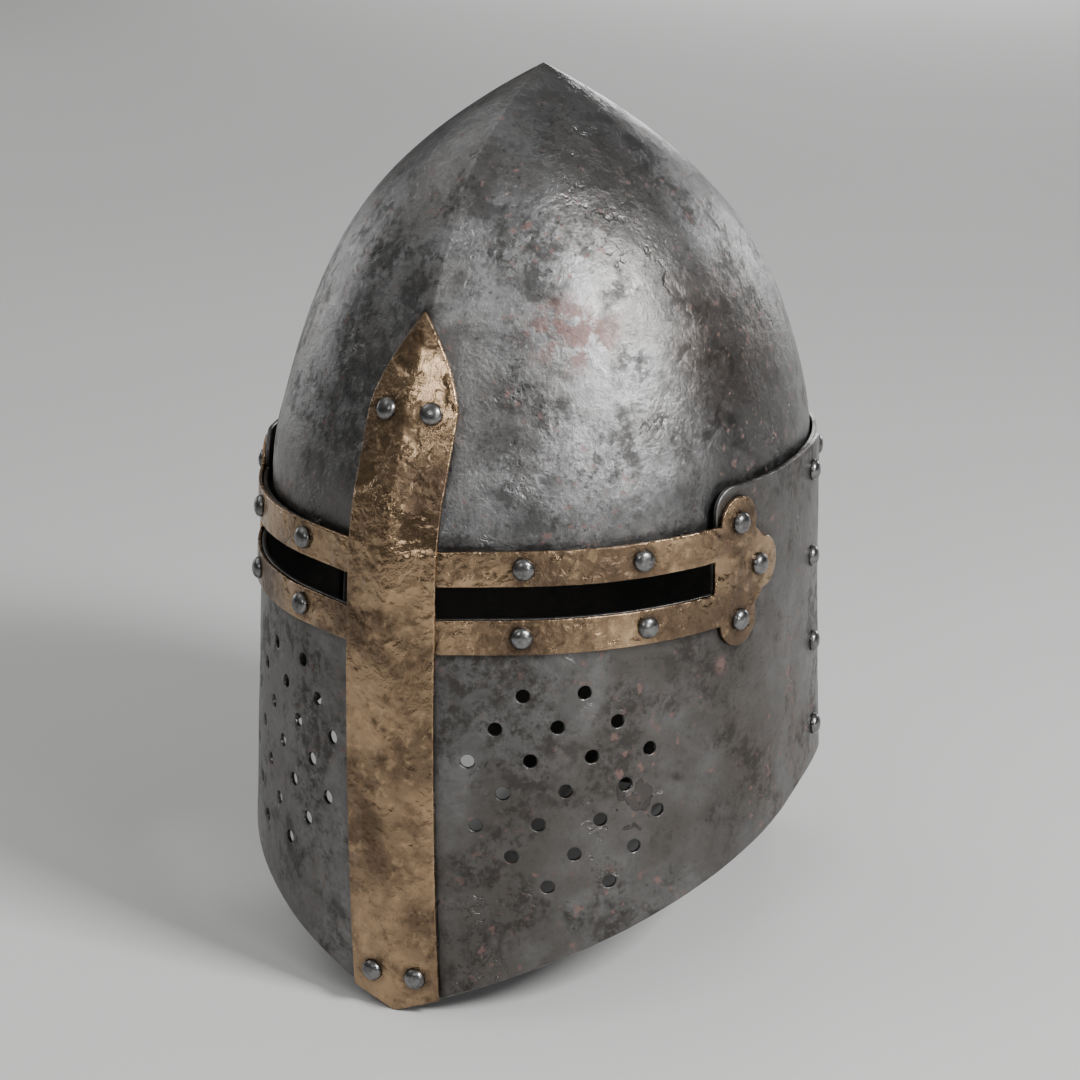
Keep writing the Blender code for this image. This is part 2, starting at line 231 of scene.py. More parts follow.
def plate_plan(z):
    """Half width, front reach, keel, back reach and axis of the plates at height z."""
    drop = (RIM - z) / RIM

    def flared(size, flare):
        return size * (1 + flare[0] * drop + flare[1] * drop**2)

    width = flared(HALF_WIDTH, WIDTH_FLARE)
    front = flared(FRONT_REACH, FRONT_FLARE)
    keel = KEEL * (1 - KEEL_FADE * drop)
    return width, front, keel, flared(BACK_REACH, BACK_FLARE), 0


def crown_plan(z, wall=0, point=HEIGHT):
    """The same for the crown, which sits inside both plates, less a wall."""
    side_inset = 2 * STEEL + 3 * GAP + wall
    front_inset = STEEL + 2 * GAP + wall
    if z <= RIM:
        width, front, keel, back, axis = plate_plan(z)
        return width - side_inset, front - front_inset, keel, back - side_inset, axis
    share = (z - RIM) / (point - RIM)
    width = (HALF_WIDTH - side_inset) * taper(share, *CROWN_WIDTH)
    front = (FRONT_REACH - front_inset) * taper(share, *CROWN_FRONT)
    back = (BACK_REACH - side_inset) * taper(share, *CROWN_BACK)
    keel = front * KEEL / FRONT_REACH * (1 - CROWN_KEEL_FADE * share)
    return width, front, keel, back, APEX_BACK * share


def around(turn, plan):
    """A point of a plan, turn 0 at the front keel and pi at the back."""
    width, front, keel, back, axis = plan
    ahead = math.cos(turn) > 0
    power = 2 / (FRONT_ROUND if ahead else BACK_ROUND)
    x = width * max(math.sin(turn), 0) ** power
    reach = abs(math.cos(turn)) ** power
    if not ahead:
        return x, axis + back * reach
    bump = max(1 - x / (KEEL_SPREAD * width + SMALL), 0) ** 2
    return x, axis - (front - keel) * reach - keel * bump


TURNS = np.linspace(0, math.pi, 721)
SLOT_PLAN = np.array([around(turn, plate_plan(SLOT_LEVEL)) for turn in TURNS])
ALONG = np.append(0, np.cumsum(np.hypot(*np.diff(SLOT_PLAN, axis=0).T)))
BACK_CENTRE = ALONG[-1]


def turn_at(along):
    return float(np.interp(abs(along), ALONG, TURNS))


def on_plates(along, z, depth=0):
    """The point that far along, at height z, and that deep inside the outer face."""
    plan = plate_plan(z)
    turn = turn_at(along)
    step = 1e-4
    first = max(turn - step, 0)
    last = min(turn + step, math.pi)
    x, y = around(turn, plan)
    x0, y0 = around(first, plan)
    x1, y1 = around(last, plan)
    length = math.hypot(x1 - x0, y1 - y0)
    across, ahead = (y1 - y0) / length, (x1 - x0) / length
    if x < SMALL:
        across, ahead = 0, 1 / ahead if turn < 1 else ahead
    side = -1 if along < 0 else 1
    return side * (x - depth * across), y + depth * ahead + AXIS_Y, z


def front_of(x, z):
    """Y of the steel ahead of the axis: the plate, and above its top the crown."""
    if z > FACE_TOP:
        if z < RIM:
            share = (z - FACE_TOP) / (RIM - FACE_TOP)
            return (1 - share) * front_of(x, FACE_TOP) + share * front_of(x, RIM + SMALL)
        plan = crown_plan(z)
    else:
        plan = plate_plan(z)
    width, front, keel, _, axis = plan
    share = min(abs(x) / width, 1)
    reach = (1 - share**FRONT_ROUND) ** (1 / FRONT_ROUND)
    bump = max(1 - share / KEEL_SPREAD, 0) ** 2
    return axis - (front - keel) * reach - keel * bump


def on_bar(x, z, depth=0):
    """The bar stands clear of the keel, and its edges clear of the frames under it."""
    centre = front_of(0, z)
    flank = BAR_FLATTEN * (front_of(x, z) - centre)
    return x, centre - BRASS - GAP + flank + depth + AXIS_Y, z


def both_ways(right):
    """An outline that starts and ends on the keel, from its right half."""
    return right + [(-a, z) for a, z in reversed(right) if a > SMALL]


def steps(first, last, pitch):
    count = max(round(abs(last - first) / pitch), 1)
    return [first + (last - first) * k / count for k in range(count + 1)]


def circle(centre, radius, sides):
    turns = [2 * math.pi * k / sides for k in range(sides)]
    return [
        (centre[0] + radius * math.cos(t), centre[1] + radius * math.sin(t))
        for t in turns
    ]


def low_edge(along):
    share = min(along / EDGE_RISE, 1)
    return max(SEAM_LOW * (1 - (1 - share**EDGE_POWER) ** LEVEL_POWER), KEEL_LOW)


def rear_edge(along):
    flat_from = BACK_CENTRE - REAR_FLAT
    share = min(max((along - SEAM) / (flat_from - SEAM), 0), 1)
    return SEAM_LOW * (1 - share**REAR_POWER) ** LEVEL_POWER


def slot_outline(side):
    start = BAR_HALF - SLOT_UNDER_BAR
    low, high = SLOT_LEVEL - SLOT_HEIGHT / 2, SLOT_LEVEL + SLOT_HEIGHT / 2
    corners = [(start, low), (SLOT_END, low), (SLOT_END, high), (start, high)]
    return [(side * a, z) for a, z in corners]


def trefoil_reach(angle):
    """How far the trefoil goes from its centre, in one direction."""
    reach = TREFOIL_BODY
    for lobe_angle, offset in ((0, LOBE_OUT), (math.pi / 2, LOBE_UP), (-math.pi / 2, LOBE_UP)):
        turned = angle - lobe_angle
        miss = abs(offset * math.sin(turned))
        if miss < LOBE and math.cos(turned) > 0:
            out = offset * math.cos(turned) + math.sqrt(LOBE**2 - miss**2)
            reach = max(reach, out)
    return reach


def frame_outline(side):
    """The band round a slot, with the trefoil at its outer end."""
    half = SLOT_HEIGHT / 2 + FRAME_BORDER
    meets = TREFOIL - math.sqrt(LOBE**2 - (half - LOBE_UP) ** 2)
    last = math.atan2(half, meets - TREFOIL)
    start = BAR_HALF - FRAME_UNDER_BAR
    points = [(start, -half), (meets, -half)]
    for k in range(1, TREFOIL_POINTS):
        angle = last * (2 * k / TREFOIL_POINTS - 1)
        reach = trefoil_reach(angle)
        points.append((TREFOIL + reach * math.cos(angle), reach * math.sin(angle)))
    points += [(meets, half), (start, half)]
    return [(side * a, SLOT_LEVEL + z) for a, z in points]


def breath_holes():
    for row, count in enumerate(HOLE_ROWS):
        centre = HOLE_CENTRE + HOLE_SHIFT * row
        for k in range(count):
            along = centre + HOLE_PITCH * (k - (count - 1) / 2)
            yield along, HOLE_TOP - HOLE_DROP * row
            yield -along, HOLE_TOP - HOLE_DROP * row


def face_outline():
    lower = [(a, low_edge(a)) for a in steps(0, SEAM, PLATE_STEP)]
    upper = [(SEAM, FACE_RIM - FACE_RIM_FALL)]
    for k in range(EAR_POINTS + 1):
        angle = math.pi / 2 * k / EAR_POINTS
        along = EAR + EAR_ROUND * (1 - math.sin(angle))
        upper.append((along, FACE_RIM - EAR_ROUND * (1 - math.cos(angle))))
    upper += [(EAR, FACE_TOP), (0, FACE_TOP)]
    return both_ways(lower + upper)


def back_outline(half):
    lower = [(a, rear_edge(BACK_CENTRE - a)) for a in steps(0, half, PLATE_STEP)]
    return both_ways(lower + [(half, BACK_RIM), (0, BACK_RIM)])


def bar_outline():
    right = [(0, 0), (BAR_HALF, BAR_POINT)]
    for k in range(SPEAR_POINTS):
        share = k / SPEAR_POINTS
        right.append((BAR_HALF * (1 - share**SPEAR_POWER), BAR_TOP - SPEAR * (1 - share)))
    right.append((0, BAR_TOP))
    return both_ways(right)


def grown(outline, by):
    """The outline moved outward by that much; a negative value shrinks it."""
    spots = [Vector(spot) for spot in outline]
    area = sum(p.cross(q) for p, q in zip(spots, spots[1:] + spots[:1]))
    turn = 1 if area > 0 else -1
    moved = []
    for k, spot in enumerate(spots):
        before = (spot - spots[k - 1]).normalized()
        after = (spots[(k + 1) % len(spots)] - spot).normalized()
        mean = (before + after).normalized()
        reach = by / max(mean.dot(before), 0.4)
        moved.append((spot.x + turn * mean.y * reach, spot.y - turn * mean.x * reach))
    return moved


def sheet(outer, holes, columns, rows):
    """A flat mesh, drawn in by the rounding of its edges, cut into a fine grid."""
    flat = bmesh.new()
    outlines = [grown(outer, -ROUND_EDGE)] + [grown(hole, ROUND_EDGE) for hole in holes]
    for outline in outlines:
        verts = [flat.verts.new((a, z, 0)) for a, z in outline]
        for k, vert in enumerate(verts):
            flat.edges.new((verts[k - 1], vert))
    bmesh.ops.triangle_fill(flat, use_beauty=True, edges=flat.edges[:], normal=(0, 0, 1))
    cuts = [((a, 0, 0), (1, 0, 0)) for a in columns]
    cuts += [((0, z, 0), (0, 1, 0)) for z in rows]
    for place, normal in cuts:
        geometry = flat.verts[:] + flat.edges[:] + flat.faces[:]
        bmesh.ops.bisect_plane(
            flat, geom=geometry, dist=SMALL, plane_co=place, plane_no=normal
        )
    bmesh.ops.remove_doubles(flat, verts=flat.verts[:], dist=MERGE)
    bmesh.ops.triangulate(flat, faces=flat.faces[:])
    return flat


def dented(spot, amount):
    """How far the metal is knocked in there, from broad dents to hammer marks.

    Bulges fade out towards the sides of the CAD box, so that none passes it."""
    at = Vector(spot)
    broad = noise.noise(at / BROAD_DENT)
    small = noise.noise(at / SMALL_DENT + Vector(DENT_SHIFT))
    knock = amount * (BROAD_SHARE * broad + (1 - BROAD_SHARE) * small)
    room = max(min(WIDEST - abs(at.x), DEEPEST - abs(at.y)), 0)
    return knock if knock > 0 else knock * min(room / BULGE_FADE, 1)


def edge_normals(flat):
    """The outward direction, in the flat, at each vertex of the sheet's edges."""
    out = {}
    for edge in flat.edges:
        if len(edge.link_faces) != 1:
            continue
        a, b = (v.co for v in edge.verts)
        away = Vector((b.y - a.y, a.x - b.x, 0)).normalized()
        inside = edge.link_faces[0].calc_center_median() - (a + b) / 2
        away *= -1 if away.dot(inside) > 0 else 1
        for vert in edge.verts:
            out.setdefault(vert, []).append(away)
    return {vert: sum(ways, Vector()).normalized() for vert, ways in out.items()}


def wrapped(name, flat, place, outer, inner, amount, finishes):
    """A closed plate with rounded edges, laid on place() at two depths."""
    mesh = bmesh.new()
    normals = edge_normals(flat)
    way = 1 if inner > outer else -1

    def put(vert, depth, grow=0):
        a, z = vert.co.x, vert.co.y
        if grow:
            a, z = a + normals[vert].x * grow, z + normals[vert].y * grow
        knock = dented(place(a, z, 0), amount)
        return mesh.verts.new(place(a, z, depth + knock))

    tops = {v: put(v, outer) for v in flat.verts}
    lows = {v: put(v, inner) for v in flat.verts}
    turns = [math.pi / 2 * k / EDGE_POINTS for k in range(1, EDGE_POINTS + 1)]
    curve = [(ROUND_EDGE * (1 - math.cos(t)), ROUND_EDGE * math.sin(t)) for t in turns]
    rings = [(outer + way * down, grow) for down, grow in curve]
    rings += [(inner - way * down, grow) for down, grow in reversed(curve)]
    walls = {v: [tops[v]] + [put(v, d, g) for d, g in rings] + [lows[v]] for v in normals}
    for face in flat.faces:
        mesh.faces.new([tops[v] for v in face.verts])
        mesh.faces.new([lows[v] for v in reversed(face.verts)]).material_index = 1
    for edge in flat.edges:
        if len(edge.link_faces) == 1:
            a, b = (walls[v] for v in edge.verts)
            for k in range(len(a) - 1):
                mesh.faces.new((a[k], b[k], b[k + 1], a[k + 1]))
    flat.free()
    return finished(name, mesh, finishes)


def finished(name, mesh, finishes):
    """The mesh as an object in the scene, smooth, with its finishes."""
    bmesh.ops.recalc_face_normals(mesh, faces=mesh.faces[:])
    data = bpy.data.meshes.new(name)
    mesh.to_mesh(data)
    mesh.free()
    data.shade_smooth()
    for finish in finishes:
        data.materials.append(finish)
    made = bpy.data.objects.new(name, data)
    bpy.context.scene.collection.objects.link(made)
    return made


def note_nearness(piece, name, cloud, reach):
    """A value at each vertex: 1 at the cloud's points, 0 from reach away."""
    tree = kdtree.KDTree(len(cloud))
    for k, spot in enumerate(cloud):
        tree.insert(spot, k)
    tree.balance()
    layer = piece.data.attributes.new(name, "FLOAT", "POINT")
    values = [max(1 - tree.find(v.co)[2] / reach, 0) for v in piece.data.vertices]
    layer.data.foreach_set("value", values)


def traced(outline, place, depth):
    """Points at close steps along an outline, laid on place()."""
    spots = []
    for (a, z), (b, w) in zip(outline, outline[1:] + outline[:1]):
        count = max(round(math.hypot(b - a, w - z) / LINE_STEP), 1)
        for k in range(count):
            share = k / count
            spots.append(place(a + (b - a) * share, z + (w - z) * share, depth))
    return spots


def eased_plan(z, wall, point):
    """The crown's plan, with the bend at the rim eased over a short height."""
    reach = min(EASE, z - CROWN_EDGE)
    if z > RIM + EASE or reach < SMALL:
        return crown_plan(z, wall, point)
    levels = [z + reach * share for share in (-1, -0.5, 0, 0.5, 1)]
    plans = [crown_plan(level, wall, point) for level in levels]
    return tuple(sum(values) / len(values) for values in zip(*plans))


def crown(finishes):
    """A hollow shell of close rings, up to its point."""
    mesh = bmesh.new()
    turns = [turn_at(a) for a in steps(0, BACK_CENTRE, BACK_CENTRE / CROWN_COLUMNS)]

    def shell(wall, point, finish):
        shares = [1 - (1 - k / CROWN_ROWS) ** CROWN_ROW_POWER for k in range(CROWN_ROWS)]
        heights = steps(CROWN_EDGE, RIM, CROWN_LOW_STEP)[:-1]
        heights += [RIM + s * (point - RIM) for s in shares]
        rings = []
        for z in heights:
            plan = eased_plan(z, wall, point)
            right = [around(turn, plan) for turn in turns]
            spots = right + [(-x, y) for x, y in right[-2:0:-1]]
            fade = min(max((z - RIM) / CALM_RIM, CALM_LEAST), 1)
            fade *= min((point - z) / CALM_POINT, 1)
            ring = []
            for x, y in spots:
                spot = Vector((x, y + AXIS_Y, z))
                out = Vector((x, y - plan[4], 0)).normalized()
                ring.append(mesh.verts.new(spot - out * dented(spot, CROWN_DENTS) * fade))
            rings.append(ring)
        tip = mesh.verts.new((0, APEX_BACK + AXIS_Y, point))
        for low, high in zip(rings, rings[1:]):
            for k, vert in enumerate(low):
                face = mesh.faces.new((low[k - 1], vert, high[k], high[k - 1]))
                face.material_index = finish
        for k, vert in enumerate(rings[-1]):
            mesh.faces.new((rings[-1][k - 1], vert, tip)).material_index = finish
        return rings[0]

    outside = shell(0, HEIGHT, 0)
    inside = shell(STEEL, HEIGHT - POINT_WALL, 1)
    for k, vert in enumerate(outside):
        mesh.faces.new((outside[k - 1], vert, inside[k], inside[k - 1]))
    return finished("crown_looks", mesh, finishes)


def face_plate(finishes):
    holes = [slot_outline(1), slot_outline(-1)]
    holes += [circle(spot, HOLE_RADIUS, HOLE_SIDES) for spot in breath_holes()]
    columns = steps(-SEAM, SEAM, PLATE_STEP)[1:-1]
    rows = steps(0, RIM, PLATE_STEP)[1:-1]
    flat = sheet(face_outline(), holes, columns, rows)
    return wrapped("face_looks", flat, on_plates, 0, STEEL, PLATE_DENTS, finishes)


def back_place(from_middle, z, depth):
    along = BACK_CENTRE - abs(from_middle)
    return on_plates(-along if from_middle < 0 else along, z, depth)


def back_plate(finishes):
    half = BACK_CENTRE - SEAM + SEAM_LAP
    columns = steps(-half, half, PLATE_STEP)[1:-1]
    rows = steps(0, RIM, PLATE_STEP)[1:-1]
    flat = sheet(back_outline(half), [], columns, rows)
    outer = STEEL + GAP
    return wrapped("back_looks", flat, back_place, outer, outer + STEEL, PLATE_DENTS, finishes)


def bar(finishes):
    columns = steps(-BAR_HALF, BAR_HALF, BRASS_STEP)[1:-1]
    rows = steps(0, BAR_TOP, BRASS_STEP)[1:-1]
    flat = sheet(bar_outline(), [], columns, rows)
    return wrapped("bar_looks", flat, on_bar, 0, BRASS, BRASS_DENTS, finishes)


def eye_frame(name, side, finishes):
    columns = [side * a for a in steps(0, TREFOIL + TREFOIL_BODY + LOBE, BRASS_STEP)]
    half = SLOT_HEIGHT / 2 + FRAME_BORDER + LOBE
    rows = steps(SLOT_LEVEL - half, SLOT_LEVEL + half, BRASS_STEP)
    flat = sheet(frame_outline(side), [slot_outline(side)], columns, rows)
    return wrapped(name, flat, on_plates, -GAP - BRASS, -GAP, BRASS_DENTS, finishes)


def rivet(node, place, along, z, depth, finish):
    """A domed head that meets the surface under it, a little uneven as if peened."""
    step = 0.5 * MM
    knock = dented(place(along, z, 0), PLATE_DENTS)
    centre = Vector(place(along, z, depth + knock))
    across = Vector(place(along + step, z, depth)) - Vector(place(along - step, z, depth))
    up = Vector(place(along, z + step, depth)) - Vector(place(along, z - step, depth))
    across.normalize()
    up = (up - across * up.dot(across)).normalized()
    out = across.cross(up)
    out *= -1 if out.dot(centre - Vector((0, AXIS_Y, z))) < 0 else 1
    mesh = bmesh.new()
    rings = []
    profile = [(1, -GAP / RIVET_HEIGHT), (1, 0)]
    for k in range(1, RIVET_LEVELS):
        turn = math.pi / 2 * k / RIVET_LEVELS
        profile.append((math.cos(turn) ** RIVET_DOME, math.sin(turn)))
    for radius_share, height_share in profile:
        height = GAP + RIVET_HEIGHT * height_share
        ring = []
        for p, q in circle((0, 0), RIVET_RADIUS * radius_share, RIVET_SIDES):
            aside = across * p + up * q
            spot = centre + aside + out * height
            flaw = RIVET_FLAW * noise.noise(spot / FLAW_SIZE) * min(height / RIVET_HEIGHT, 1)
            ring.append(mesh.verts.new(spot + out * flaw + aside * flaw / RIVET_RADIUS))
        rings.append(ring)
    mesh.faces.new(rings[0])
    for low, high in zip(rings, rings[1:]):
        for k, vert in enumerate(low):
            mesh.faces.new((low[k - 1], vert, high[k], high[k - 1]))
    tip = mesh.verts.new(centre + out * (GAP + RIVET_HEIGHT))
    for k, vert in enumerate(rings[-1]):
        mesh.faces.new((rings[-1][k - 1], vert, tip))
    piece = finished(f"{node}_looks", mesh, [finish])
    round_foot = circle((0, 0), RIVET_RADIUS, FOOT_POINTS)
    return node, piece, [centre + across * p + up * q for p, q in round_foot]


def bar_rivets(finish):
    levels = (BAR_TOP - SPEAR + BAR_RIVET_UP, BAR_POINT + 2 * RIVET_RADIUS)
    spots = [(side * BAR_HALF / 2, z) for z in levels for side in (-1, 1)]
    return [
        rivet(f"bar_rivet_{k}", on_bar, x, z, 0, finish)
        for k, (x, z) in enumerate(spots, 1)
    ]


def frame_rivets(name, side, finish):
    middle = SLOT_HEIGHT / 2 + FRAME_BORDER / 2
    spots = [(share * SLOT_END, middle) for share in UPPER_RIVETS]
    spots += [(share * SLOT_END, -middle) for share in LOWER_RIVETS]
    spots += [(TREFOIL, LOBE_UP), (TREFOIL + LOBE_RIVET * LOBE_OUT, 0), (TREFOIL, -LOBE_UP)]
    return [
        rivet(f"{name}_rivet_{k}", on_plates, side * a, SLOT_LEVEL + v, -GAP - BRASS, finish)
        for k, (a, v) in enumerate(spots, 1)
    ]


def seam_rivets(name, side, finish):
    top = FACE_RIM - SEAM_RIVET_END
    pitch = (top - SEAM_LOW - SEAM_RIVET_LOW) / (SEAM_RIVETS - 1)
    along = SEAM - SEAM_RIVET_PLACE * SEAM_LAP
    spots = [(along, top - pitch * k, 0) for k in range(SEAM_RIVETS)]
    spots.append((SEAM + BACK_RIVET, BACK_RIM - BACK_RIVET_DOWN, STEEL + GAP))
    return [
        rivet(f"{name}_seam_{k}", on_plates, side * a, z, depth, finish)
        for k, (a, z, depth) in enumerate(spots, 1)
    ]


class Finish:
    """A material as it is wired: each call adds a node and gives its output."""

    def __init__(self, name, metallic=1):
        self.material = bpy.data.materials.new(name)
        self.material.use_nodes = True
        self.nodes = self.material.node_tree.nodes
        self.links = self.material.node_tree.links
        self.shader = self.nodes["Principled BSDF"]
        self.shader.inputs["Metallic"].default_value = metallic
        self.spot = self.nodes.new("ShaderNodeTexCoord").outputs["Object"]

    def put(self, socket, value):
        if isinstance(value, bpy.types.NodeSocket):
            self.links.new(value, socket)
        elif socket.type == "RGBA":
            socket.default_value = (*value, 1)
        else:
            socket.default_value = value

    def clouds(self, size, seed, detail=5, rough=0.55, warp=0):
        """Noise between 0 and 1, mostly near 0.5, in clouds of that size."""
        node = self.nodes.new("ShaderNodeTexNoise")
        node.noise_dimensions = "4D"
        self.put(node.inputs["Vector"], self.spot)
        sockets = {"W": seed, "Scale": 1 / size, "Detail": detail}
        sockets.update({"Roughness": rough, "Distortion": warp})
        for key, value in sockets.items():
            self.put(node.inputs[key], value)
        return node.outputs["Fac"]

    def noted(self, name):
        """What note_nearness left on the mesh."""
        node = self.nodes.new("ShaderNodeAttribute")
        node.attribute_name = name
        return node.outputs["Fac"]

    def band(self, value, low, high, first=0, last=1):
        """Smoothly from first at low to last at high."""
        node = self.nodes.new("ShaderNodeMapRange")
        node.interpolation_type = "SMOOTHSTEP"
        for k, item in enumerate((value, low, high, first, last)):
            self.put(node.inputs[k], item)
        return node.outputs[0]

    def math(self, operation, first, second):
        node = self.nodes.new("ShaderNodeMath")
        node.operation = operation
        self.put(node.inputs[0], first)
        self.put(node.inputs[1], second)
        return node.outputs[0]

    def times(self, first, second):
        return self.math("MULTIPLY", first, second)

    def plus(self, first, second):
        return self.math("ADD", first, second)

    def most(self, first, second):
        return self.math("MAXIMUM", first, second)

    def blend(self, share, first, second):
        node = self.nodes.new("ShaderNodeMix")
        node.data_type = "RGBA"
        self.put(node.inputs["Factor"], share)
        self.put(node.inputs[6], first)
        self.put(node.inputs[7], second)
        return node.outputs[2]

    def near(self, spot, size, full):
        """0 outside size from a place, rising to 1 at that full share of it."""
        mapping = self.nodes.new("ShaderNodeMapping")
        self.put(mapping.inputs["Vector"], self.spot)
        mapping.inputs["Location"].default_value = [-p / s for p, s in zip(spot, size)]
        mapping.inputs["Scale"].default_value = [1 / s for s in size]
        length = self.nodes.new("ShaderNodeVectorMath")
        length.operation = "LENGTH"
        self.links.new(mapping.outputs[0], length.inputs[0])
        return self.band(length.outputs["Value"], full, 1, 1, 0)

    def relief(self, layers):
        """Bumps one over another, each a height and how deep it goes."""
        normal = None
        for height, depth in layers:
            node = self.nodes.new("ShaderNodeBump")
            node.inputs["Distance"].default_value = depth
            self.put(node.inputs["Height"], height)
            if normal:
                self.put(node.inputs["Normal"], normal)
            normal = node.outputs["Normal"]
        self.put(self.shader.inputs["Normal"], normal)

    def done(self, colour, roughness):
        self.put(self.shader.inputs["Base Color"], colour)
        self.put(self.shader.inputs["Roughness"], roughness)
        return self.material


# Colours of the metals, their stains and their worn places, their grime with painted contact
# shade, painted glints on the brass, and the painted shade of the inner faces
CROWN_TONES = (
    (0.058, 0.056, 0.055),
    (0.15, 0.149, 0.148),
    (0.245, 0.244, 0.243),
    (0.135, 0.128, 0.122),
)
PLATE_TONES = (
    (0.056, 0.051, 0.047),
    (0.12, 0.116, 0.112),
    (0.18, 0.176, 0.172),
    (0.1, 0.091, 0.083),
)
STEEL_BROWNED = (0.12, 0.097, 0.082)
STEEL_RUST = (0.18, 0.098, 0.084)
STEEL_GRIME_AND_SHADE = (0.03, 0.027, 0.024)
STEEL_WORN = (0.55, 0.55, 0.56)
BRASS_DARK = (0.168, 0.114, 0.073)
BRASS_LIGHT = (0.38, 0.257, 0.153)
BRASS_TARNISH = (0.11, 0.073, 0.048)
BRASS_SPECK = (0.07, 0.046, 0.03)
BRASS_GRIME_AND_SHADE = (0.04, 0.028, 0.02)
BRASS_WORN = (0.66, 0.48, 0.3)
BRASS_RUBBED_AND_GLINT = (0.75, 0.53, 0.3)
RIVET_LIGHT = (0.2, 0.198, 0.197)
RIVET_DARK = (0.1, 0.097, 0.094)
# Inner faces: near-black, painted shade for the inside of the helmet
INSIDE_SHADE_DARK = (0.02, 0.019, 0.018)
INSIDE_SHADE_LIGHT = (0.05, 0.046, 0.042)
FLOOR_COLOUR = (0.62, 0.62, 0.612)
FLOOR_ROUGHNESS = 0.85

# Marks on the steel: the place, the size along each axis, and the share of it at full strength
CROWN_RUST = ((0.0486, -0.0698, 0.2584), (0.024, 0.024, 0.018), 0.35)
CROWN_PEELED = ((0.017, -0.088, 0.22), (0.006, 0.006, 0.006), 0.3)
CROWN_BROWNED = ((0.088, -0.008, 0.251), (0.03, 0.05, 0.05), 0.3)
CROWN_STAINED = (
    ((0.022, -0.065, 0.289), (0.022, 0.02, 0.014)),
    ((-0.03, -0.067, 0.282), (0.02, 0.02, 0.02)),
    ((0.038, -0.096, 0.217), (0.022, 0.02, 0.012)),
    ((0.083, 0.004, 0.264), (0.02, 0.02, 0.03)),
)
PLATE_RUST = ((0.1, -0.045, 0.13), (0.006, 0.006, 0.006), 0.1)
PLATE_PEELED = ((0.0801, -0.0828, 0.0835), (0.015, 0.015, 0.02), 0.4)
PLATE_BROWNED = ((0.106, -0.01, 0.1), (0.03, 0.05, 0.06), 0.3)
# Darker patches on the plates: the first two, just under the left band and under its trefoil,
# are partly stain and partly painted shade under the band
PLATE_STAINS_AND_SHADE = (
    ((0.032, -0.113, 0.139), (0.022, 0.02, 0.014)),
    ((0.09, -0.064, 0.141), (0.022, 0.022, 0.014)),
    ((0.033, -0.117, 0.058), (0.03, 0.02, 0.02)),
)
STAIN_AND_SHADE_GAIN = 0.12


